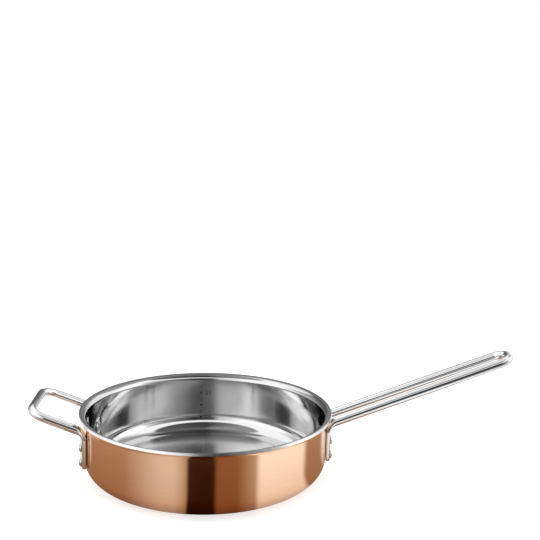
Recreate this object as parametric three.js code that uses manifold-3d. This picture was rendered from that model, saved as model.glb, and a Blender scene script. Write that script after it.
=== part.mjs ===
// Copper-clad saute pan: a three-layer vessel with a flared pouring lip, a long loop handle and a helper
// handle. Both handles are bent from round steel rod, pressed flat at the ends and riveted to the wall.
// Millimetres, +Z up. The origin is the middle of the base, and +X points along the long handle.
import * as THREE from 'three';
import { mergeVertices } from 'three/addons/utils/BufferGeometryUtils.js';
import Module from 'manifold-3d';

const wasm = await Module();
wasm.setup();

const degrees = THREE.MathUtils.degToRad;

// Vessel, drawn from one clad sheet
const INNER_RADIUS = 140;
const VESSEL_HEIGHT = 79.5;
const STEEL_SHEET = 0.7;
const ALUMINIUM_SHEET = 2.3;
const COPPER_SHEET = 0.5;
const BOND_GAP = 0.05;
const INNER_CORNER_RADIUS = 23;
const LIP_ANGLE = degrees(75);
const LIP_BEND_RADIUS = 4.2;
const LIP_REACH = 6.2;

// Handles, both bent from the same rod
const ROD_DIAMETER = 10.3;
const ROD_TILT = degrees(20.6);
const ELBOW_RADIUS = 12;
const LEG_WIDTH = 18;
const LEG_THICKNESS = 5;
const LEG_FOOT_HEIGHT = 22.6;
const LEG_CHAMFER = 0.6;
const SEAT_GAP = 0.2;
const LONG_SPACING = 32.3;
const LONG_REACH = 361;
const LONG_ROD_DROP = 14;
const HELPER_SPACING = 89;
const HELPER_REACH = 199.4;
const HELPER_ROD_DROP = 15.4;
const HELPER_CORNER_RADIUS = 18.5;

// Rivets, two through each leg
const SHANK_DIAMETER = 6;
const HOLE_CLEARANCE = 0.2;
const OUTER_HEAD_DIAMETER = 9.5;
const OUTER_HEAD_HEIGHT = 2.6;
const INNER_HEAD_DIAMETER = 13;
const INNER_HEAD_HEIGHT = 2.2;
const HEAD_EDGE = 0.5;
const RIVET_EDGE_DISTANCE = 5.6;
const RIVET_PITCH = 17.5;

// Facets
const VESSEL_SIDES = 60;
const CORNER_STEPS = 5;
const LIP_STEPS = 4;
const ROD_SIDES = 12;
const BEND_STEPS = 6;
const RIVET_SIDES = 12;
const DOME_STEPS = 3;

// Sizes that follow from the ones above
const SHEET = STEEL_SHEET + BOND_GAP + ALUMINIUM_SHEET + BOND_GAP + COPPER_SHEET;
const OUTER_RADIUS = INNER_RADIUS + SHEET;
const RIM_RADIUS = OUTER_RADIUS + LIP_REACH;
const LEG_RADIUS = OUTER_RADIUS + SEAT_GAP + LEG_THICKNESS / 2;
const RIVET_HEIGHTS = {
  lower: LEG_FOOT_HEIGHT + RIVET_EDGE_DISTANCE,
  upper: LEG_FOOT_HEIGHT + RIVET_EDGE_DISTANCE + RIVET_PITCH,
};

// Materials
const STEEL = { color: 0xc9c9cb, roughness: 0.12, metalness: 1 };
const ALUMINIUM = { color: 0xd6d7d9, roughness: 0.35, metalness: 1 };
const COPPER = { color: 0xb87a4c, roughness: 0.28, metalness: 1 };

// A closed geometry as a solid, with shared corners welded and collapsed triangles dropped
function solid(geometry) {
  const bare = geometry.clone();
  bare.deleteAttribute('normal');
  bare.deleteAttribute('uv');
  const welded = mergeVertices(bare);
  const corners = welded.index.array;
  const triangles = [];
  for (let i = 0; i < corners.length; i += 3) {
    const [a, b, c] = corners.slice(i, i + 3);
    if (a !== b && b !== c && c !== a) triangles.push(a, b, c);
  }
  return new wasm.Manifold(new wasm.Mesh({
    numProp: 3,
    vertProperties: Float32Array.from(welded.attributes.position.array),
    triVerts: Uint32Array.from(triangles),
  }));
}

function namedMesh(name, body, finish) {
  const { vertProperties, triVerts } = body.getMesh();
  const geometry = new THREE.BufferGeometry();
  geometry.setAttribute('position', new THREE.BufferAttribute(vertProperties, 3));
  geometry.setIndex(new THREE.BufferAttribute(triVerts, 1));
  geometry.computeVertexNormals();
  const mesh = new THREE.Mesh(geometry, new THREE.MeshStandardMaterial(finish));
  mesh.name = name;
  return mesh;
}

// A profile of (radius, height) points turned about the Z axis
function turned(profile, sides) {
  return new THREE.LatheGeometry(profile, sides).rotateX(Math.PI / 2);
}

// Points on an arc about (x, y), from one angle to another
function arcPoints(x, y, radius, from, to, steps) {
  return Array.from({ length: steps + 1 }, (_, i) => {
    const angle = from + (to - from) * i / steps;
    return new THREE.Vector2(x + radius * Math.cos(angle), y + radius * Math.sin(angle));
  });
}

// The sheet's surface at a depth below the cooking surface, from the axis out to the rim. The lip is a
// bend and a short straight end, trimmed square to the sheet.
function sheetSurface(depth) {
  const cornerX = INNER_RADIUS - INNER_CORNER_RADIUS;
  const cornerZ = SHEET + INNER_CORNER_RADIUS;
  const lipX = OUTER_RADIUS + LIP_BEND_RADIUS;
  const out = Math.sin(LIP_ANGLE);
  const up = Math.cos(LIP_ANGLE);
  const straight = (RIM_RADIUS - lipX + LIP_BEND_RADIUS * up) / out;
  const innerBend = LIP_BEND_RADIUS + SHEET;
  const lipZ = VESSEL_HEIGHT - innerBend * out - straight * up;
  const bend = innerBend - depth;
  return [
    new THREE.Vector2(0, SHEET - depth),
    ...arcPoints(cornerX, cornerZ, INNER_CORNER_RADIUS + depth, -Math.PI / 2, 0, CORNER_STEPS),
    ...arcPoints(lipX, lipZ, bend, Math.PI, Math.PI - LIP_ANGLE, LIP_STEPS),
    new THREE.Vector2(lipX - bend * up + straight * out, lipZ + bend * out + straight * up),
  ];
}

// The part of the sheet between two depths
function sheetLayer(top, bottom) {
  return solid(turned([...sheetSurface(bottom), ...sheetSurface(top).reverse()], VESSEL_SIDES));
}

// Flattened share of a rod's section: 1 on the leg, 0 where the elbow ends
function flatness(progress) {
  return 1 - THREE.MathUtils.smoothstep(progress, 0, 1);
}

// One ring of a handle's section: round, or pressed flat and dished to the vessel's wall
function sectionRing({ centre, along, across, flat, inset = 0 }) {
  const wide = across.clone().addScaledVector(along, -across.dot(along)).normalize();
  const thick = along.clone().cross(wide);
  const halfWidth = THREE.MathUtils.lerp(ROD_DIAMETER, LEG_WIDTH, flat) / 2 - inset;
  const halfThickness = THREE.MathUtils.lerp(ROD_DIAMETER, LEG_THICKNESS, flat) / 2 - inset;
  return Array.from({ length: ROD_SIDES }, (_, i) => {
    const angle = 2 * Math.PI * (i + 0.5) / ROD_SIDES;
    const straight = Math.sign(Math.cos(angle)) * (halfWidth - halfThickness);
    const side = straight + halfThickness * Math.cos(angle);
    const dish = flat * side * side / (2 * OUTER_RADIUS);
    return centre.clone().addScaledVector(wide, side)
      .addScaledVector(thick, halfThickness * Math.sin(angle) + dish);
  });
}

// Where a handle's legs stand: spacing sets how far round the wall they are
function legPlace(spacing) {
  const turn = Math.asin(spacing / 2 / LEG_RADIUS);
  return { turn, x: LEG_RADIUS * Math.cos(turn) };
}

// Rings along half of a handle that points along +X: foot, leg, elbow, rod and corner of the loop
function halfHandle({ spacing, reach, drop, cornerRadius }) {
  const leg = legPlace(spacing);
  const rodZ = VESSEL_HEIGHT - drop;
  const y = -spacing / 2;
  const wallTangent = new THREE.Vector3(Math.sin(leg.turn), Math.cos(leg.turn), 0);
  const sideways = new THREE.Vector3(0, 1, 0);
  const up = new THREE.Vector3(0, 0, 1);
  const outward = new THREE.Vector3(Math.cos(ROD_TILT), 0, Math.sin(ROD_TILT));
  const elbowTurn = Math.PI / 2 - ROD_TILT;
  const elbowZ = rodZ - ELBOW_RADIUS * Math.tan(elbowTurn / 2);
  const stations = [
    { centre: new THREE.Vector3(leg.x, y, LEG_FOOT_HEIGHT), along: up, across: wallTangent, flat: 1,
      inset: LEG_CHAMFER },
    { centre: new THREE.Vector3(leg.x, y, LEG_FOOT_HEIGHT + LEG_CHAMFER), along: up, across: wallTangent,
      flat: 1 },
  ];
  for (let i = 0; i <= BEND_STEPS; i += 1) {
    const angle = elbowTurn * i / BEND_STEPS;
    stations.push({
      centre: new THREE.Vector3(
        leg.x + ELBOW_RADIUS * (1 - Math.cos(angle)), y, elbowZ + ELBOW_RADIUS * Math.sin(angle)),
      along: new THREE.Vector3(Math.sin(angle), 0, Math.cos(angle)),
      across: wallTangent,
      flat: flatness(i / BEND_STEPS),
    });
  }
  const loopEnd = new THREE.Vector3(reach, y, rodZ + (reach - leg.x) * Math.tan(ROD_TILT));
  const cornerCentre = loopEnd.clone().addScaledVector(outward, -cornerRadius);
  cornerCentre.y += cornerRadius;
  for (let i = 0; i <= BEND_STEPS; i += 1) {
    const angle = Math.PI / 2 * i / BEND_STEPS;
    const along = outward.clone().multiplyScalar(Math.cos(angle)).addScaledVector(sideways, Math.sin(angle));
    const across = sideways.clone().multiplyScalar(Math.cos(angle)).addScaledVector(outward, -Math.sin(angle));
    const centre = cornerCentre.clone().addScaledVector(across, -cornerRadius);
    stations.push({ centre, along, across, flat: 0 });
  }
  return stations.map(sectionRing);
}

// The whole handle: the half and its mirror image, skinned ring to ring and capped at both feet
function handle(shape) {
  const half = halfHandle(shape);
  const closesOnAxis = shape.cornerRadius === shape.spacing / 2;
  const mirrored = (closesOnAxis ? half.slice(0, -1) : half)
    .map((ring) => ring.map((p) => new THREE.Vector3(p.x, -p.y, p.z)))
    .reverse();
  const rings = [...half, ...mirrored];
  const points = rings.flat();
  const triangles = [];
  for (let r = 0; r + 1 < rings.length; r += 1) {
    for (let i = 0; i < ROD_SIDES; i += 1) {
      const a = r * ROD_SIDES + i;
      const b = r * ROD_SIDES + (i + 1) % ROD_SIDES;
      triangles.push(a, b, b + ROD_SIDES, a, b + ROD_SIDES, a + ROD_SIDES);
    }
  }
  const last = (rings.length - 1) * ROD_SIDES;
  for (let i = 1; i + 1 < ROD_SIDES; i += 1) {
    triangles.push(0, i + 1, i, last, last + i, last + i + 1);
  }
  const geometry = new THREE.BufferGeometry().setFromPoints(points);
  geometry.setIndex(triangles);
  return geometry;
}

// A rivet head's dome: a flat underside at height 0, a short straight edge and a crown
function rivetHead(diameter, height) {
  const radius = diameter / 2;
  const crown = height - HEAD_EDGE;
  const dome = arcPoints(0, 0, 1, 0, Math.PI / 2, DOME_STEPS)
    .map((p) => new THREE.Vector2(radius * p.x, HEAD_EDGE + crown * p.y));
  dome[DOME_STEPS].x = 0;
  return [new THREE.Vector2(0, 0), new THREE.Vector2(radius, 0), ...dome];
}

// Moves a piece turned about Z so that it points outward through the wall
function pointOutward(geometry, turn, radius, height) {
  return geometry
    .rotateY(Math.PI / 2)
    .translate(radius, 0, height)
    .rotateZ(turn);
}

function rod(diameter, from, to) {
  return new THREE.CylinderGeometry(diameter / 2, diameter / 2, to - from, RIVET_SIDES)
    .rotateX(Math.PI / 2)
    .translate(0, 0, (from + to) / 2);
}

const seatedWall = sheetLayer(-SEAT_GAP, SHEET);
const legFace = LEG_RADIUS + LEG_THICKNESS / 2 + SEAT_GAP;

// A set rivet: a domed head on the leg, and a wide flat one drawn down on to the cooking surface
function rivet(turn, height) {
  const shankStart = INNER_RADIUS - INNER_HEAD_HEIGHT / 2;
  const shankEnd = legFace + OUTER_HEAD_HEIGHT / 2;
  const shank = rod(SHANK_DIAMETER, shankStart, shankEnd);
  const outer = turned(rivetHead(OUTER_HEAD_DIAMETER, OUTER_HEAD_HEIGHT), RIVET_SIDES);
  const inner = turned(rivetHead(INNER_HEAD_DIAMETER, INNER_HEAD_HEIGHT), RIVET_SIDES).rotateX(Math.PI);
  const innerHead = solid(pointOutward(inner, turn, INNER_RADIUS, height)).subtract(seatedWall);
  return innerHead
    .add(solid(pointOutward(shank, turn, 0, height)))
    .add(solid(pointOutward(outer, turn, legFace, height)));
}

function rivetHole(turn, height) {
  const through = rod(SHANK_DIAMETER + 2 * HOLE_CLEARANCE, INNER_RADIUS - INNER_HEAD_HEIGHT, legFace);
  return solid(pointOutward(through, turn, 0, height));
}

const handleShapes = {
  long_handle: {
    spacing: LONG_SPACING, reach: LONG_REACH, drop: LONG_ROD_DROP, cornerRadius: LONG_SPACING / 2, facing: 0,
  },
  helper_handle: {
    spacing: HELPER_SPACING, reach: HELPER_REACH, drop: HELPER_ROD_DROP,
    cornerRadius: HELPER_CORNER_RADIUS, facing: Math.PI,
  },
};

// Every rivet's place: the front leg is the one towards -Y
const rivetPlaces = Object.entries(handleShapes).flatMap(([name, shape]) => {
  const { turn } = legPlace(shape.spacing);
  const front = shape.facing === 0 ? -turn : Math.PI + turn;
  const rear = shape.facing === 0 ? turn : Math.PI - turn;
  return Object.entries({ front, rear }).flatMap(([side, angle]) =>
    Object.entries(RIVET_HEIGHTS).map(([level, height]) =>
      ({ name: `${name}_rivet_${side}_${level}`, handle: name, angle, height })));
});
const holes = rivetPlaces.map(({ angle, height }) => rivetHole(angle, height));
const drilled = (body) => holes.reduce((rest, hole) => rest.subtract(hole), body);

const pan = new THREE.Group();

const vessel = new THREE.Group();
const coreTop = STEEL_SHEET + BOND_GAP;
const copperTop = coreTop + ALUMINIUM_SHEET + BOND_GAP;
vessel.add(
  namedMesh('steel_liner', drilled(sheetLayer(0, STEEL_SHEET)), STEEL),
  namedMesh('aluminium_core', drilled(sheetLayer(coreTop, coreTop + ALUMINIUM_SHEET)), ALUMINIUM),
  namedMesh('copper_shell', drilled(sheetLayer(copperTop, SHEET)), COPPER),
);
pan.add(vessel);

for (const [name, shape] of Object.entries(handleShapes)) {
  const side = new THREE.Group();
  side.add(namedMesh(name, drilled(solid(handle(shape).rotateZ(shape.facing))), STEEL));
  for (const place of rivetPlaces.filter((p) => p.handle === name)) {
    side.add(namedMesh(place.name, rivet(place.angle, place.height), STEEL));
  }
  pan.add(side);
}

export default pan;
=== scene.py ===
import math

import bpy
from mathutils import Matrix, Vector


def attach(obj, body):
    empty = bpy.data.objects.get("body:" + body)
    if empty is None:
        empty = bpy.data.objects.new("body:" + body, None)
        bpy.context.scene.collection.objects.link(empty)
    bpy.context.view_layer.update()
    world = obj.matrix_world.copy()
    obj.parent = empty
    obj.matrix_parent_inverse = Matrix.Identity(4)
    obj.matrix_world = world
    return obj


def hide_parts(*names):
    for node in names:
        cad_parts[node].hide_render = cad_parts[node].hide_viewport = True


MM = 0.001
QUARTER = math.pi / 2
UP = Vector((0, 0, 1))
TINY = 1e-6

# Vessel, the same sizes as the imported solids
INNER_RADIUS = 140.0
VESSEL_HEIGHT = 79.5
STEEL_SHEET = 0.7
ALUMINIUM_SHEET = 2.3
COPPER_SHEET = 0.5
BOND_GAP = 0.05
INNER_CORNER_RADIUS = 23.0
LIP_ANGLE = math.radians(75)
LIP_BEND_RADIUS = 4.2
LIP_REACH = 6.2
SHEET = STEEL_SHEET + BOND_GAP + ALUMINIUM_SHEET + BOND_GAP + COPPER_SHEET
OUTER_RADIUS = INNER_RADIUS + SHEET
RIM_RADIUS = OUTER_RADIUS + LIP_REACH

# Roundings of the layers' trimmed edges at the rim
LINER_EDGE = 0.42
BONDED_EDGE = 0.05
SHELL_EDGE = 0.25

# Handles
ROD_DIAMETER = 10.3
ROD_TILT = math.radians(20.6)
ELBOW_RADIUS = 12.0
LEG_WIDTH = 18.0
LEG_THICKNESS = 5.0
LEG_FOOT_HEIGHT = 22.6
FOOT_ROUNDING = 0.8
SEAT_GAP = 0.2
LEG_RADIUS = OUTER_RADIUS + SEAT_GAP + LEG_THICKNESS / 2
HANDLES = {
    "long_handle": {
        "spacing": 32.3, "reach": 361.0, "drop": 14.0, "corner": 16.15, "facing": 0.0},
    "helper_handle": {
        "spacing": 89.0, "reach": 199.4, "drop": 15.4, "corner": 18.5, "facing": math.pi},
}

# Rivets. Their edges are (share of the edge's height, inset of the radius).
SHANK_RADIUS = 3.0
OUTER_HEAD_RADIUS = 4.75
OUTER_HEAD_HEIGHT = 2.6
INNER_HEAD_RADIUS = 6.5
INNER_HEAD_HEIGHT = 2.2
INNER_HEAD_GAP = 0.02
HEAD_EDGE = 0.5
INNER_EDGE = ((0.45, 0.0), (0.12, 0.08), (0.0, 0.3))
OUTER_EDGE = ((0.0, 0.25), (0.15, 0.06))
RIVET_HEIGHTS = {"lower": 28.2, "upper": 45.7}

# Level marks on the inner wall, every half litre: (height, radius of the dot, digit beside it)
LITRE_DOT, HALF_DOT = 1.2, 0.75
MARKS = (
    (21.2, LITRE_DOT, "1"), (28.7, HALF_DOT, ""), (37.6, LITRE_DOT, ""),
    (45.8, HALF_DOT, ""), (54.2, LITRE_DOT, "3"), (62.3, HALF_DOT, ""))
MARK_AZIMUTH = math.radians(93.7)
MARK_RELIEF = 0.05
DIGIT_OFFSET, LITRE_OFFSET = 6.7, 11.6
STROKE = 0.85

# Smoothness of the dressed pieces
VESSEL_SIDES = 216
FLOOR_RINGS = (0.0, 30.0, 60.0, 90.0, 112.0)
BEND_STEPS = 24
WALL_STEPS = 9
UPPER_EDGE_STEPS, LOWER_EDGE_STEPS = 8, 5
ROD_SIDES = 60
FOOT_STEPS = 5
LEG_STEPS = 8
ROD_BEND_STEPS = 28
ROD_STEP = 9
END_RINGS = (0.6, 2.0, 5.0)
LEAST_FLAT_END = 1.0
FLAT_END_SHARES = (0.5, 0.8)
RIVET_SIDES = 48
HEAD_STEPS = 10
DOT_SIDES = 24
ROD_SHARP, RIVET_SHARP = math.radians(40), math.radians(50)

# Materials: noise mostly lies between these values, brushing runs a quarter turn from the radial
# tangent, and turned lines divide by no radius smaller than this, in metres
NOISE_LOW, NOISE_HIGH = 0.3, 0.7
BRUSH_ROTATION = 0.25
LEAST_RADIUS = 0.001

# Tent and table that the metal mirrors. Their levels are (degrees of turn from the front, level).
TENT_RADIUS = 2.5
TENT_SIDES, TENT_STEPS = 72, 16
TENT_LOW = (
    (-180, 0.25), (-168, 0.1), (-150, 0.18), (-117, 0.64), (-85, 1.35), (-38, 1.35), (-14, 0.75),
    (-6, 0.1), (14, 0.03), (58, 0.45), (68, 0.75), (76, 1.4), (96, 1.9), (112, 1.2), (150, 1.1),
    (172, 0.25), (180, 0.25))
TENT_MIDDLE = (
    (-180, 0.2), (-170, 0.35), (-150, 1.2), (-120, 1.3), (104, 1.3), (120, 0.45), (156, 0.45),
    (180, 0.2))
TENT_TOP = ((-180, 0.2), (-100, 0.4), (-60, 0.35), (0, 0.06), (100, 0.15), (180, 0.2))
TENT_LOW_RISE = (32.0, 38.0)
TENT_TOP_START = (0.83, 0.86)
TENT_TOP_LEAN = (-0.19, 0.98)
BROWN, TAN, PALE = (0.42, 0.27, 0.18), (0.53, 0.41, 0.3), (0.77, 0.73, 0.69)
DARK, DIM, BRIGHT = (0.035, 0.008, 0.0), (0.28, 0.13, 0.055), (1.08, 1.13, 1.17)
TABLE_NEAR = (
    (-180, 1.0), (-138, 1.0), (-132, BROWN), (-80, BROWN), (-40, PALE), (-27, PALE), (-17, TAN),
    (-14.5, DARK), (8.5, DARK), (12.5, DIM), (30, DIM), (48, TAN), (53, BRIGHT), (105, BRIGHT),
    (111, BROWN), (138, BROWN), (148, 1.0), (180, 1.0))
TABLE_FAR = ((-180, 0.9), (-85, 0.9), (-60, 0.14), (60, 0.14), (85, 0.9), (180, 0.9))
TABLE_FAR_START = (0.36, 0.44)
# By metres from the axis: the shade painted on the table at the pan's foot, and how far the base
# corner, which mirrors the table there, spreads its bands
TABLE_PAINTED_SHADE = (
    (0.0, (0.2, 0.12, 0.08)), (0.115, (0.3, 0.2, 0.15)), (0.155, (0.86, 0.75, 0.67)),
    (0.255, 1.0), (0.31, 1.12), (1.0, 1.12))
TABLE_CORNER = (
    (0.0, 0.4), (0.1265, 0.67), (0.1345, 0.775), (0.1455, 0.87), (0.168, 0.955), (0.2, 1.0))
SIGHT_LINE_FOCUS = -0.0785
SIGHT_LINE_ROUNDS = 3
LEAST_COSINE = 0.3
TABLE_DROP = 0.15

# Floor, world, lamps and camera
FLOOR_SIZE = 6000.0
FLOOR_DROP = 0.3
FLOOR_GREY = (0.55, 0.55, 0.55, 1.0)
FLOOR_GLOW = 0.7
WHITE = (1.0, 1.0, 1.0, 1.0)
WORLD_LIGHT, WORLD_SEEN = 0.85, 1.0
LAMP_POWER = 2.5
IMAGE_SIZE = 540
HALF_PIXEL = 0.5 / IMAGE_SIZE
SENSOR_WIDTH = 36.0
LENS = 61.84
CAMERA_PLACE = (0.01541, -1.06347, 0.43174)
CAMERA_YAW, CAMERA_PITCH, CAMERA_ROLL = (math.radians(a) for a in (3.086, 9.860, 1.350))

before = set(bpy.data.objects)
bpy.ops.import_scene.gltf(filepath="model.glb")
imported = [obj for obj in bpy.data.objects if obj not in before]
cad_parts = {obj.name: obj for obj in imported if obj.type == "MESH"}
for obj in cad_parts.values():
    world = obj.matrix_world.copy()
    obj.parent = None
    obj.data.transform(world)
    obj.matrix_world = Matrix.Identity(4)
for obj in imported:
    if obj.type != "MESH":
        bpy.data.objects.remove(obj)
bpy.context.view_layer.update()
scene = bpy.context.scene


# Node materials

class Nodes:
    """A small writer for a node tree."""

    def __init__(self, tree):
        self.tree = tree
        tree.nodes.clear()

    def add(self, kind, **settings):
        node = self.tree.nodes.new(kind)
        for name, value in settings.items():
            setattr(node, name, value)
        return node

    def feed(self, socket, value):
        if isinstance(value, bpy.types.NodeSocket):
            self.tree.links.new(value, socket)
        else:
            socket.default_value = value

    def math(self, operation, a, b=0.0):
        node = self.add("ShaderNodeMath", operation=operation)
        for socket, value in zip(node.inputs, (a, b)):
            self.feed(socket, value)
        return node.outputs[0]

    def plus(self, a, b):
        return self.math("ADD", a, b)

    def times(self, a, b):
        return self.math("MULTIPLY", a, b)

    def length(self, x, y):
        return self.math("SQRT", self.plus(self.times(x, x), self.times(y, y)))

    def degrees_of(self, x, y):
        return self.math("DEGREES", self.math("ARCTAN2", x, y))

    def combine(self, x, y, z):
        node = self.add("ShaderNodeCombineXYZ")
        for socket, value in zip(node.inputs, (x, y, z)):
            self.feed(socket, value)
        return node.outputs[0]

    def noise(self, vector, scale=1.0, detail=3.0, roughness=0.6):
        node = self.add("ShaderNodeTexNoise")
        self.feed(node.inputs["Vector"], vector)
        node.inputs["Scale"].default_value = scale
        node.inputs["Detail"].default_value = detail
        node.inputs["Roughness"].default_value = roughness
        return node.outputs["Fac"]

    def span(self, value, low, high, to_low=0.0, to_high=1.0):
        node = self.add("ShaderNodeMapRange")
        node.clamp = True
        self.feed(node.inputs["Value"], value)
        ends = {"From Min": low, "From Max": high, "To Min": to_low, "To Max": to_high}
        for name, number in ends.items():
            node.inputs[name].default_value = number
        return node.outputs["Result"]

    def spread(self, noise, to_low, to_high):
        return self.span(noise, NOISE_LOW, NOISE_HIGH, to_low, to_high)

    def ramp(self, value, stops):
        """A colour ramp over value, with stops given in value's own unit."""
        node = self.add("ShaderNodeValToRGB")
        elements = node.color_ramp.elements
        while len(elements) > 1:
            elements.remove(elements[-1])
        low, high = stops[0][0], stops[-1][0]
        for i, (place, shade) in enumerate(stops):
            at = (place - low) / (high - low)
            element = elements[0] if i == 0 else elements.new(at)
            element.position = at
            colour = shade if isinstance(shade, tuple) else (shade, shade, shade)
            element.color = (*colour, 1.0)
        self.feed(node.inputs[0], self.span(value, low, high))
        return node.outputs[0]

    def mix(self, factor, a, b, blend="MIX"):
        node = self.add("ShaderNodeMix", data_type="RGBA", blend_type=blend)
        self.feed(node.inputs[0], factor)
        for socket, value in ((node.inputs[6], a), (node.inputs[7], b)):
            if isinstance(value, tuple) and len(value) == 3:
                value = (*value, 1.0)
            self.feed(socket, value)
        return node.outputs[2]

    def tone(self, noise, low, high):
        return self.mix(self.spread(noise, 0.0, 1.0), low, high)

    def bump(self, height, distance, strength):
        node = self.add("ShaderNodeBump")
        node.inputs["Strength"].default_value = strength
        node.inputs["Distance"].default_value = distance
        self.feed(node.inputs["Height"], height)
        return node.outputs["Normal"]

    def seen(self):
        """One for camera, glossy and transmission rays, and zero for the others."""
        path = self.add("ShaderNodeLightPath")
        direct = self.math("MAXIMUM", path.outputs["Is Camera Ray"], path.outputs["Is Glossy Ray"])
        return self.math("MAXIMUM", direct, path.outputs["Is Transmission Ray"])

    def finish(self, shader, kind="ShaderNodeOutputMaterial"):
        output = self.add(kind)
        self.feed(output.inputs["Surface"], shader.outputs[0])


def new_material(name):
    material = bpy.data.materials.new(name)
    material.use_nodes = True
    return material, Nodes(material.node_tree)


def place_of(nodes):
    """The piece's own coordinates, which are the row frame's metres, whole and split."""
    split = nodes.add("ShaderNodeSeparateXYZ")
    coordinates = nodes.add("ShaderNodeTexCoord")
    nodes.feed(split.inputs[0], coordinates.outputs["Object"])
    return coordinates.outputs["Object"], split.outputs


def metal(name, tint):
    """A metallic material, its node writer and its shader."""
    material, nodes = new_material(name)
    shader = nodes.add("ShaderNodeBsdfPrincipled")
    nodes.finish(shader)
    shader.inputs["Metallic"].default_value = 1.0
    shader.inputs["Base Color"].default_value = (*tint, 1.0)
    return material, nodes, shader


def dress(nodes, shader, rough, tone, normal):
    nodes.feed(shader.inputs["Roughness"], rough)
    nodes.feed(shader.inputs["Base Color"], tone)
    nodes.feed(shader.inputs["Normal"], normal)


def brush(nodes, shader, amount):
    """Draws the gloss out across lines that run round the vessel's axis."""
    shader.inputs["Anisotropic"].default_value = amount
    shader.inputs["Anisotropic Rotation"].default_value = BRUSH_ROTATION
    tangent = nodes.add("ShaderNodeTangent", direction_type="RADIAL", axis="Z")
    nodes.feed(shader.inputs["Tangent"], tangent.outputs[0])


def turned_lines(nodes, spacing, run):
    """Lines round the vessel's axis: fine across, long along, with no seam."""
    _, (x, y, z) = place_of(nodes)
    radius = nodes.length(x, y)
    safe = nodes.math("MAXIMUM", radius, LEAST_RADIUS)
    across = nodes.times(nodes.plus(radius, z), 1.0 / spacing)
    turn_x = nodes.times(nodes.math("DIVIDE", x, safe), run)
    turn_y = nodes.times(nodes.math("DIVIDE", y, safe), run)
    return nodes.combine(across, turn_x, turn_y)


def satin_copper():
    material, nodes, shader = metal("satin_copper", (0.91, 0.60, 0.41))
    brush(nodes, shader, 0.8)
    fine = nodes.noise(turned_lines(nodes, spacing=0.00035, run=7.0))
    coarse = nodes.noise(turned_lines(nodes, spacing=0.0022, run=3.0), detail=2.0, roughness=0.5)
    cloud = nodes.noise(place_of(nodes)[0], scale=22.0, roughness=0.55)
    lines = nodes.plus(nodes.times(fine, 0.65), nodes.times(coarse, 0.35))
    rough = nodes.plus(nodes.spread(lines, 0.11, 0.17), nodes.spread(cloud, -0.015, 0.02))
    tone = nodes.tone(lines, (0.89, 0.58, 0.39), (0.93, 0.625, 0.435))
    tone = nodes.mix(nodes.span(cloud, 0.35, 0.75, 0.0, 0.5), tone, (0.89, 0.57, 0.378))
    dress(nodes, shader, rough, tone, nodes.bump(lines, distance=0.00002, strength=0.12))
    return material


def polished_liner():
    """Polished up the wall, and more satin on the floor."""
    material, nodes, shader = metal("polished_liner", (0.70, 0.70, 0.70))
    brush(nodes, shader, 0.75)
    fine = nodes.noise(turned_lines(nodes, spacing=0.0004, run=5.0))
    place, (_, _, height) = place_of(nodes)
    haze = nodes.noise(place, scale=16.0, roughness=0.55)
    rough = nodes.plus(nodes.spread(fine, 0.05, 0.085), nodes.span(haze, 0.35, 0.7, 0.0, 0.03))
    satin = nodes.span(height, 0.0045, 0.0037, 0.0, 0.09)
    tone = nodes.tone(fine, (0.68, 0.68, 0.685), (0.72, 0.72, 0.72))
    normal = nodes.bump(fine, distance=0.00001, strength=0.02)
    dress(nodes, shader, nodes.plus(rough, satin), tone, normal)
    return material


def bare_core():
    material, nodes, shader = metal("bare_aluminium", (0.86, 0.865, 0.88))
    fine = nodes.noise(turned_lines(nodes, spacing=0.0003, run=30.0))
    tone = nodes.tone(fine, (0.82, 0.83, 0.845), (0.90, 0.905, 0.915))
    normal = nodes.bump(fine, distance=0.00003, strength=0.2)
    dress(nodes, shader, nodes.spread(fine, 0.17, 0.27), tone, normal)
    return material


def drawn_rod():
    material, nodes, shader = metal("polished_rod", (0.74, 0.74, 0.745))
    place, (x, y, z) = place_of(nodes)
    along = nodes.combine(nodes.times(x, 40.0), nodes.times(y, 2200.0), nodes.times(z, 900.0))
    lines = nodes.noise(along)
    haze = nodes.noise(place, scale=45.0, roughness=0.5)
    rough = nodes.plus(nodes.spread(lines, 0.06, 0.1), nodes.span(haze, 0.35, 0.7, 0.0, 0.03))
    tone = nodes.tone(haze, (0.72, 0.72, 0.725), (0.76, 0.76, 0.765))
    dress(nodes, shader, rough, tone, nodes.bump(lines, distance=0.00001, strength=0.05))
    return material


def grained(name, tint, scale, rough, tones, distance, strength):
    """A metal with a fine even grain."""
    material, nodes, shader = metal(name, tint)
    grain = nodes.noise(place_of(nodes)[0], scale, detail=2.0)
    normal = nodes.bump(grain, distance, strength)
    dress(nodes, shader, nodes.spread(grain, *rough), nodes.tone(grain, *tones), normal)
    return material


def rivet_metal():
    return grained(
        "rivet_steel", (0.74, 0.74, 0.745), scale=900.0, rough=(0.09, 0.17),
        tones=((0.71, 0.71, 0.715), (0.77, 0.77, 0.775)), distance=0.00002, strength=0.1)


def etched_mark():
    return grained(
        "etched_mark", (0.025, 0.025, 0.026), scale=2500.0, rough=(0.42, 0.62),
        tones=((0.015, 0.015, 0.016), (0.035, 0.035, 0.037)), distance=0.00003, strength=0.3)


# Meshes

def add_mesh(name, points, faces, material):
    """A new object from points in millimetres."""
    mesh = bpy.data.meshes.new(name)
    mesh.from_pydata([Vector(p) * MM for p in points], [], faces)
    mesh.materials.append(material)
    made = bpy.data.objects.new(name, mesh)
    scene.collection.objects.link(made)
    return made


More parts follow.
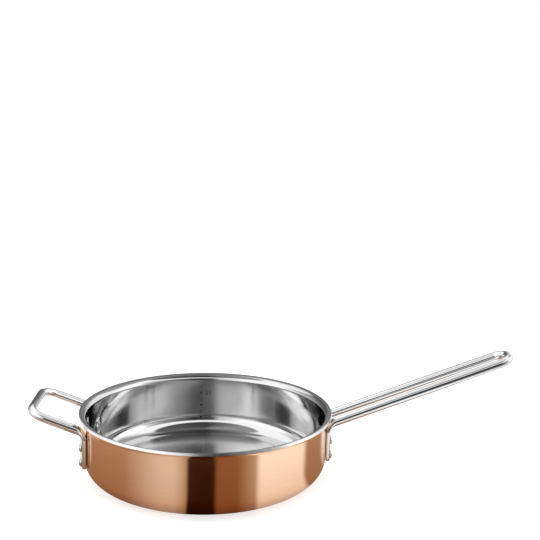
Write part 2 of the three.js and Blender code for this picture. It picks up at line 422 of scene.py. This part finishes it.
def piece(name, points, faces, material, node=None, normals=None, sharp=None):
    """A smooth piece of the pan, which takes the place of a node or adds to them."""
    made = add_mesh(name, points, faces, material)
    mesh = made.data
    mesh.polygons.foreach_set("use_smooth", [True] * len(mesh.polygons))
    mesh.update()
    if normals:
        mesh.normals_split_custom_set_from_vertices(normals)
    if sharp:
        mesh.set_sharp_from_angle(angle=sharp)
    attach(made, "root")
    if node:
        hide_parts(node)


def sweep(start, end, steps):
    """Evenly spaced angles, both ends included."""
    return [start + (end - start) * i / steps for i in range(steps + 1)]


def surface(depth):
    """The sheet's surface at a depth below the cooking surface, as (radius, height, normal).

    It runs from the axis to the end of the lip's bend. The lip's edge is given beside it.
    """
    found = [(r, SHEET - depth, (0.0, 1.0)) for r in FLOOR_RINGS]
    centre_r, centre_z = INNER_RADIUS - INNER_CORNER_RADIUS, SHEET + INNER_CORNER_RADIUS
    radius = INNER_CORNER_RADIUS + depth
    for a in sweep(-QUARTER, 0.0, BEND_STEPS):
        c, s = math.cos(a), math.sin(a)
        found.append((centre_r + radius * c, centre_z + radius * s, (-c, -s)))
    lip_r = OUTER_RADIUS + LIP_BEND_RADIUS
    inner_bend = LIP_BEND_RADIUS + SHEET
    out, up = math.sin(LIP_ANGLE), math.cos(LIP_ANGLE)
    straight = (RIM_RADIUS - lip_r + LIP_BEND_RADIUS * up) / out
    lip_z = VESSEL_HEIGHT - inner_bend * out - straight * up
    for i in range(1, WALL_STEPS):
        z = centre_z + (lip_z - centre_z) * i / WALL_STEPS
        found.append((INNER_RADIUS + depth, z, (-1.0, 0.0)))
    bend = inner_bend - depth
    for a in sweep(math.pi, math.pi - LIP_ANGLE, BEND_STEPS):
        c, s = math.cos(a), math.sin(a)
        found.append((lip_r + bend * c, lip_z + bend * s, (c, s)))
    return found, (lip_r - bend * up + straight * out, lip_z + bend * out + straight * up)


def rounded(corner, arrive, leave, radius, steps):
    """Points round a corner of a profile whose material lies to the right of its direction."""
    turn = math.acos(max(-1.0, min(1.0, arrive[0] * leave[0] + arrive[1] * leave[1])))
    back = radius * math.tan(turn / 2)
    normal = math.atan2(arrive[0], -arrive[1])
    start = (corner[0] - arrive[0] * back, corner[1] - arrive[1] * back)
    centre = (start[0] - radius * math.cos(normal), start[1] - radius * math.sin(normal))
    found = []
    for a in sweep(normal, normal - turn, steps):
        c, s = math.cos(a), math.sin(a)
        found.append((centre[0] + radius * c, centre[1] + radius * s, (c, s)))
    return found


def sheet_layer(top, bottom, top_rounding, bottom_rounding):
    """Profile of one layer: from the axis out along its upper face, round the rim and back."""
    upper, upper_edge = surface(top)
    lower, lower_edge = surface(bottom)
    out = (math.sin(LIP_ANGLE), math.cos(LIP_ANGLE))
    down = (out[1], -out[0])
    back = (-out[0], -out[1])
    flipped = [(r, z, (-n[0], -n[1])) for r, z, n in reversed(lower)]
    return (upper + rounded(upper_edge, out, down, top_rounding, UPPER_EDGE_STEPS)
            + rounded(lower_edge, down, back, bottom_rounding, LOWER_EDGE_STEPS) + flipped)


def new_ring(points, radius, sides):
    """The places of a ring's points, which are about to be added: one point on the axis."""
    return range(len(points), len(points) + (1 if radius < TINY else sides))


def stitch(rings, sides):
    """Faces between rings that follow one another, each full or a single point."""
    faces = []
    for first, second in zip(rings, rings[1:]):
        for j in range(sides):
            k = (j + 1) % sides
            if len(first) == 1:
                faces.append((first[0], second[j], second[k]))
            elif len(second) == 1:
                faces.append((first[j], second[0], first[k]))
            else:
                faces.append((first[j], second[j], second[k], first[k]))
    return faces


def lathe(profile, sides):
    """Points, faces and normals of a profile turned about Z."""
    points, normals, rings = [], [], []
    for r, z, (nr, nz) in profile:
        ring = new_ring(points, r, sides)
        rings.append(ring)
        for j in range(len(ring)):
            a = 2 * math.pi * j / sides
            c, s = math.cos(a), math.sin(a)
            points.append((r * c, r * s, z))
            normals.append((nr * c, nr * s, nz) if len(ring) > 1 else (0.0, 0.0, nz))
    return points, stitch(rings, sides), normals


def smoothstep(t):
    t = max(0.0, min(1.0, t))
    return t * t * (3 - 2 * t)


def lerp(a, b, t):
    return a + (b - a) * t


def stadium(share, half_width, half_thickness):
    """A point on a flat bar's rounded outline, at a share of the way round from its right tip."""
    straight = half_width - half_thickness
    quarter = QUARTER * half_thickness
    lengths = (quarter, 2 * straight, 2 * quarter, 2 * straight, quarter)
    s = share * sum(lengths)
    for part, length in enumerate(lengths):
        if s <= length or part == len(lengths) - 1:
            break
        s -= length
    if part == 1:
        return straight - s, half_thickness
    if part == 3:
        return -straight + s, -half_thickness
    a = s / half_thickness + {0: 0.0, 2: QUARTER, 4: 3 * QUARTER}[part]
    side = -straight if part == 2 else straight
    return side + half_thickness * math.cos(a), half_thickness * math.sin(a)


def section(centre, along, across, flat, inset=0.0):
    """One ring of a handle: round, or pressed flat and dished to the wall."""
    wide = (across - along * across.dot(along)).normalized()
    thick = along.cross(wide)
    ring = []
    for i in range(ROD_SIDES):
        share = i / ROD_SIDES
        a = 2 * math.pi * share
        radius = ROD_DIAMETER / 2 - inset
        side, rise = radius * math.cos(a), radius * math.sin(a)
        if flat > 0:
            bar = stadium(share, LEG_WIDTH / 2 - inset, LEG_THICKNESS / 2 - inset)
            side, rise = lerp(side, bar[0], flat), lerp(rise, bar[1], flat)
        rise += flat * side * side / (2 * OUTER_RADIUS)
        ring.append(centre + wide * side + thick * rise)
    return ring


def leg_turn(shape):
    """The angle between a leg and the middle of its handle, round the vessel's axis."""
    return math.asin(shape["spacing"] / 2 / LEG_RADIUS)


def flat_end_of(shape):
    """Half the straight run at the end of the loop, and none where the corners meet."""
    flat_end = shape["spacing"] / 2 - shape["corner"]
    return flat_end if flat_end > LEAST_FLAT_END else 0.0


def half_handle(shape):
    """Rings along half of a handle that points along +X: foot, leg, elbow, rod and corner."""
    corner, reach = shape["corner"], shape["reach"]
    y = -shape["spacing"] / 2
    turn = leg_turn(shape)
    x = LEG_RADIUS * math.cos(turn)
    tangent = Vector((math.sin(turn), math.cos(turn), 0))
    sideways = Vector((0, 1, 0))
    outward = Vector((math.cos(ROD_TILT), 0, math.sin(ROD_TILT)))
    rod_z = VESSEL_HEIGHT - shape["drop"]
    elbow_turn = QUARTER - ROD_TILT
    elbow_z = rod_z - ELBOW_RADIUS * math.tan(elbow_turn / 2)
    rings = []
    for a in sweep(0.0, QUARTER, FOOT_STEPS):
        inset = FOOT_ROUNDING * (1 - math.sin(a))
        z = LEG_FOOT_HEIGHT + FOOT_ROUNDING * (1 - math.cos(a))
        rings.append(section(Vector((x, y, z)), UP, tangent, 1.0, inset))
    for i in range(1, LEG_STEPS):
        z = lerp(LEG_FOOT_HEIGHT + FOOT_ROUNDING, elbow_z, i / LEG_STEPS)
        rings.append(section(Vector((x, y, z)), UP, tangent, 1.0))
    for a in sweep(0.0, elbow_turn, ROD_BEND_STEPS):
        c, s = math.cos(a), math.sin(a)
        centre = Vector((x + ELBOW_RADIUS * (1 - c), y, elbow_z + ELBOW_RADIUS * s))
        flat = 1 - smoothstep(a / elbow_turn)
        rings.append(section(centre, Vector((s, 0, c)), tangent, flat))
    end = Vector((reach, y, rod_z + (reach - x) * math.tan(ROD_TILT)))
    middle = end - outward * corner + Vector((0, corner, 0))
    rod_start, rod_end = centre, middle - sideways * corner
    straight = (rod_end - rod_start).length
    margin = END_RINGS[-1]
    steps = max(2, round(straight / ROD_STEP))
    places = list(END_RINGS)
    places += [margin + (straight - 2 * margin) * i / steps for i in range(1, steps)]
    places += [straight - place for place in reversed(END_RINGS)]
    for place in places:
        rings.append(section(rod_start + outward * place, outward, sideways, 0.0))
    for a in sweep(0.0, QUARTER, ROD_BEND_STEPS):
        along = outward * math.cos(a) + sideways * math.sin(a)
        across = sideways * math.cos(a) - outward * math.sin(a)
        rings.append(section(middle - across * corner, along, across, 0.0))
    flat_end = flat_end_of(shape)
    if flat_end:
        last = middle + outward * corner
        for place in (*END_RINGS, *(flat_end * share for share in FLAT_END_SHARES)):
            rings.append(section(last + sideways * place, sideways, -outward, 0.0))
    return rings


def handle_piece(name, shape, material):
    half = half_handle(shape)
    other = half if flat_end_of(shape) else half[:-1]
    mirrored = [[Vector((p.x, -p.y, p.z)) for p in ring] for ring in other]
    rings = half + mirrored[::-1]
    turn = Matrix.Rotation(shape["facing"], 3, "Z")
    points = [turn @ p for ring in rings for p in ring]
    faces = []
    for r in range(len(rings) - 1):
        for i in range(ROD_SIDES):
            a, b = r * ROD_SIDES + i, r * ROD_SIDES + (i + 1) % ROD_SIDES
            faces.append((a, b, b + ROD_SIDES, a + ROD_SIDES))
    last = (len(rings) - 1) * ROD_SIDES
    faces.append(tuple(reversed(range(ROD_SIDES))))
    faces.append(tuple(range(last, last + ROD_SIDES)))
    piece(name + "_rod", points, faces, material, name, sharp=ROD_SHARP)


def rivet_profile():
    """(place along the rivet, radius, drawn on to the wall) from the inner crown to the outer."""
    seat = INNER_RADIUS - INNER_HEAD_GAP
    face = LEG_RADIUS + LEG_THICKNESS / 2
    found = []
    for a in sweep(0.0, QUARTER, HEAD_STEPS):
        rise = HEAD_EDGE + (INNER_HEAD_HEIGHT - HEAD_EDGE) * math.cos(a)
        found.append((seat - rise, INNER_HEAD_RADIUS * math.sin(a), True))
    for share, inset in INNER_EDGE:
        found.append((seat - HEAD_EDGE * share, INNER_HEAD_RADIUS - inset, True))
    found.append((seat, SHANK_RADIUS, True))
    found.append((face, SHANK_RADIUS, False))
    for share, inset in OUTER_EDGE:
        found.append((face + HEAD_EDGE * share, OUTER_HEAD_RADIUS - inset, False))
    for a in sweep(0.0, QUARTER, HEAD_STEPS):
        rise = HEAD_EDGE + (OUTER_HEAD_HEIGHT - HEAD_EDGE) * math.sin(a)
        found.append((face + rise, OUTER_HEAD_RADIUS * math.cos(a), False))
    return found


def rivet_piece(name, angle, height, material):
    outward = Vector((math.cos(angle), math.sin(angle), 0))
    tangent = Vector((-math.sin(angle), math.cos(angle), 0))
    points, rings = [], []
    for along, radius, drawn in rivet_profile():
        ring = new_ring(points, radius, RIVET_SIDES)
        rings.append(ring)
        for j in range(len(ring)):
            a = 2 * math.pi * j / RIVET_SIDES
            side = radius * math.cos(a)
            reach = along
            if drawn:
                reach += math.sqrt(INNER_RADIUS ** 2 - side ** 2) - INNER_RADIUS
            points.append(outward * reach + tangent * side + UP * (height + radius * math.sin(a)))
    faces = [face[:1] + face[:0:-1] for face in stitch(rings, RIVET_SIDES)]
    piece(name + "_set", points, faces, material, name, sharp=RIVET_SHARP)


# Level marks

def arc(cx, cz, radius, start, end, steps):
    spread = sweep(math.radians(start), math.radians(end), steps)
    return [(cx + radius * math.cos(a), cz + radius * math.sin(a)) for a in spread]


GLYPHS = {
    "1": [(-0.9, 1.5), (0.35, 2.6), (0.35, -2.6)],
    "3": arc(0.0, 1.3, 1.3, 160, -80, 14) + arc(0.0, -1.25, 1.4, 82, -160, 14),
    "l": [(0.0, 2.6), (0.0, -2.6)],
}


def ribbon(line, width):
    """Left and right edges of a stroke along a line of (across, height) points."""
    left, right = [], []
    for i, (u, z) in enumerate(line):
        before, after = line[max(i - 1, 0)], line[min(i + 1, len(line) - 1)]
        du, dz = after[0] - before[0], after[1] - before[1]
        size = math.hypot(du, dz) or 1.0
        left.append((u - dz / size * width / 2, z + du / size * width / 2))
        right.append((u + dz / size * width / 2, z - du / size * width / 2))
    return left, right


def marks_piece(material):
    points, faces = [], []

    def on_wall(u, z, relief):
        """A new point on the inner wall, which follows the corner at its foot."""
        angle = MARK_AZIMUTH - u / INNER_RADIUS
        drop = max(0.0, SHEET + INNER_CORNER_RADIUS - z)
        inset = INNER_CORNER_RADIUS - math.sqrt(INNER_CORNER_RADIUS ** 2 - drop ** 2)
        radius = INNER_RADIUS - inset - relief
        points.append((radius * math.cos(angle), radius * math.sin(angle), z))
        return len(points) - 1

    def plate(outline, strips):
        """A thin plate on the wall, its face cut into strips of outline places."""
        low = [on_wall(u, z, 0.0) for u, z in outline]
        high = [on_wall(u, z, MARK_RELIEF) for u, z in outline]
        for strip in strips:
            faces.append(tuple(high[i] for i in strip))
            faces.append(tuple(low[i] for i in reversed(strip)))
        count = len(outline)
        for i in range(count):
            j = (i + 1) % count
            faces.append((low[i], low[j], high[j], high[i]))

    for height, radius, digit in MARKS:
        dot = arc(0.0, height, radius, 0, 360 - 360 / DOT_SIDES, DOT_SIDES - 1)
        plate(dot, [tuple(range(DOT_SIDES))])
        if not digit:
            continue
        for glyph, offset in ((digit, DIGIT_OFFSET), ("l", LITRE_OFFSET)):
            line = [(u + offset, z + height) for u, z in GLYPHS[glyph]]
            left, right = ribbon(line, STROKE)
            last = 2 * len(left) - 1
            strips = [(i, i + 1, last - 1 - i, last - i) for i in range(len(left) - 1)]
            plate(right + left[::-1], strips)
    piece("level_marks", points, faces, material, sharp=ROD_SHARP)


def make_vessel():
    core_top = STEEL_SHEET + BOND_GAP
    core_foot = core_top + ALUMINIUM_SHEET
    for name, node, span, roundings, material, slot in (
            ("liner_sheet", "steel_liner", (0.0, STEEL_SHEET), (LINER_EDGE, BONDED_EDGE),
             polished_liner(), "liner_steel"),
            ("core_sheet", "aluminium_core", (core_top, core_foot), (BONDED_EDGE, BONDED_EDGE),
             bare_core(), "core_aluminium"),
            ("shell_sheet", "copper_shell", (core_foot + BOND_GAP, SHEET),
             (BONDED_EDGE, SHELL_EDGE), satin_copper(), "shell_copper")):
        points, faces, normals = lathe(sheet_layer(*span, *roundings), VESSEL_SIDES)
        piece(name, points, faces, material, node, normals)


def make_handles():
    rod_metal, head_metal = drawn_rod(), rivet_metal()
    for name, shape in HANDLES.items():
        handle_piece(name, shape, rod_metal)
        facing = shape["facing"]
        to_front = leg_turn(shape) if facing else -leg_turn(shape)
        for side, angle in (("front", facing + to_front), ("rear", facing - to_front)):
            for level, height in RIVET_HEIGHTS.items():
                rivet_piece(f"{name}_rivet_{side}_{level}", angle, height, head_metal)


# Studio: a white floor and world, lamps, and a tent and a table that only the metal mirrors

def white_world():
    world = bpy.data.worlds.new("studio")
    scene.world = world
    world.use_nodes = True
    nodes = Nodes(world.node_tree)
    background = nodes.add("ShaderNodeBackground")
    background.inputs["Color"].default_value = WHITE
    strength = nodes.span(nodes.seen(), 0.0, 1.0, WORLD_LIGHT, WORLD_SEEN)
    nodes.feed(background.inputs["Strength"], strength)
    nodes.finish(background, "ShaderNodeOutputWorld")


def make_floor():
    material, nodes = new_material("pale_floor")
    lit = nodes.add("ShaderNodeBsdfDiffuse")
    lit.inputs["Color"].default_value = FLOOR_GREY
    glow = nodes.add("ShaderNodeEmission")
    nodes.feed(glow.inputs["Strength"], nodes.times(nodes.seen(), FLOOR_GLOW))
    both = nodes.add("ShaderNodeAddShader")
    nodes.feed(both.inputs[0], lit.outputs[0])
    nodes.feed(both.inputs[1], glow.outputs[0])
    nodes.finish(both)
    low, high = -FLOOR_SIZE, FLOOR_SIZE
    points = [(low, low, 0), (high, low, 0), (high, high, 0), (low, high, 0)]
    floor = add_mesh("floor", points, [(0, 1, 2, 3)], material)
    floor.location.z = -FLOOR_DROP * MM


def tent_paint(nodes, x, y, z):
    """Light and dark panels of the tent round the pan, by turn from the front and by rise."""
    turn = nodes.degrees_of(x, nodes.times(y, -1.0))
    rise = nodes.degrees_of(z, nodes.length(x, y))
    low, middle, top = (nodes.ramp(turn, stops) for stops in (TENT_LOW, TENT_MIDDLE, TENT_TOP))
    light = nodes.mix(nodes.span(rise, *TENT_LOW_RISE), low, middle)
    lean_y, lean_z = (lean / TENT_RADIUS for lean in TENT_TOP_LEAN)
    overhead = nodes.plus(nodes.times(y, lean_y), nodes.times(z, lean_z))
    return nodes.mix(nodes.span(overhead, *TENT_TOP_START), light, top)


def table_paint(nodes, x, y, _height):
    """Bands on the table along the sight lines that the upright wall throws back.

    So they stand upright in the wall's mirror image.
    """
    turn = nodes.math("ARCTAN2", x, nodes.math("SUBTRACT", SIGHT_LINE_FOCUS, y))
    for _ in range(SIGHT_LINE_ROUNDS):
        half = nodes.math("MAXIMUM", nodes.math("COSINE", nodes.times(turn, 0.5)), LEAST_COSINE)
        focus = nodes.math("DIVIDE", SIGHT_LINE_FOCUS, half)
        turn = nodes.math("ARCTAN2", x, nodes.math("SUBTRACT", focus, y))
    away = nodes.length(x, y)
    turn = nodes.times(nodes.math("DEGREES", turn), nodes.ramp(away, TABLE_CORNER))
    bands = nodes.ramp(turn, TABLE_NEAR)
    # The shade painted at the pan's foot darkens the bands near the axis.
    near = nodes.mix(1.0, bands, nodes.ramp(away, TABLE_PAINTED_SHADE), "MULTIPLY")
    return nodes.mix(nodes.span(away, *TABLE_FAR_START), near, nodes.ramp(turn, TABLE_FAR))


def make_card(name, profile, paint):
    """A turned card that stands round the pan or under it and that only the metal mirrors."""
    material, nodes = new_material(name)
    glow = nodes.add("ShaderNodeEmission")
    nodes.feed(glow.inputs["Color"], paint(nodes, *place_of(nodes)[1]))
    nodes.finish(glow)
    points, faces, _ = lathe([(r, z, (0.0, 1.0)) for r, z in profile], TENT_SIDES)
    made = add_mesh(name, points, faces, material)
    made.visible_camera = False
    made.visible_diffuse = False
    made.visible_shadow = False


def make_cards():
    size = TENT_RADIUS / MM
    arch = sweep(0.0, QUARTER, TENT_STEPS)
    make_card("tent", [(size * math.cos(a), size * math.sin(a)) for a in arch], tent_paint)
    make_card("table_card", [(0.0, -TABLE_DROP), (size, -TABLE_DROP)], table_paint)


def make_lamp(name, middle, along, size, level, faces_up=False, mirrored=True):
    """A soft rectangular lamp of an even level, tilted in the plane of the handles.

    It is either mirrored by the metal or lights the scene.
    """
    lamp = bpy.data.lights.new(name, "AREA")
    lamp.shape = "RECTANGLE"
    lamp.size, lamp.size_y = size[0] * MM, size[1] * MM
    lamp.energy = LAMP_POWER * lamp.size * lamp.size_y * level
    holder = bpy.data.objects.new(name, lamp)
    run = Vector((along[0], 0, along[1])).normalized()
    back = Vector((-run.z, 0, run.x)) * (-1 if faces_up else 1)
    turned = Matrix((run, back.cross(run), back)).transposed().to_4x4()
    holder.matrix_world = Matrix.Translation(Vector(middle) * MM) @ turned
    holder.visible_camera = False
    holder.visible_glossy = mirrored
    holder.visible_diffuse = not mirrored
    scene.collection.objects.link(holder)


def make_lamps():
    make_lamp("overhead", (-100, -100, 1300), along=(1, 0), size=(900, 900), level=3.0,
              mirrored=False)
    make_lamp("over_long", (261, 15, 173), along=(258, 97), size=(276, 130), level=0.95)
    make_lamp("over_helper", (-182, 15, 142), along=(100, -33), size=(105, 190), level=0.95)
    make_lamp("under_helper", (-198, 0, 60), along=(60, -22), size=(64, 124), level=0.35,
              faces_up=True)


def make_camera():
    flat = math.cos(CAMERA_PITCH)
    ahead = Vector((math.sin(CAMERA_YAW) * flat, math.cos(CAMERA_YAW) * flat,
                    -math.sin(CAMERA_PITCH)))
    level = Vector((math.cos(CAMERA_YAW), -math.sin(CAMERA_YAW), 0))
    upright = level.cross(ahead)
    right = level * math.cos(CAMERA_ROLL) + upright * math.sin(CAMERA_ROLL)
    top = upright * math.cos(CAMERA_ROLL) - level * math.sin(CAMERA_ROLL)
    data = bpy.data.cameras.new("camera")
    data.sensor_width = SENSOR_WIDTH
    data.lens = LENS
    data.shift_x, data.shift_y = -HALF_PIXEL, HALF_PIXEL
    camera = bpy.data.objects.new("camera", data)
    turned = Matrix((right, top, -ahead)).transposed().to_4x4()
    camera.matrix_world = Matrix.Translation(CAMERA_PLACE) @ turned
    scene.collection.objects.link(camera)
    scene.camera = camera


make_vessel()
make_handles()
marks_piece(etched_mark())
white_world()
make_floor()
make_cards()
make_lamps()
make_camera()
scene.view_settings.view_transform = "Standard"
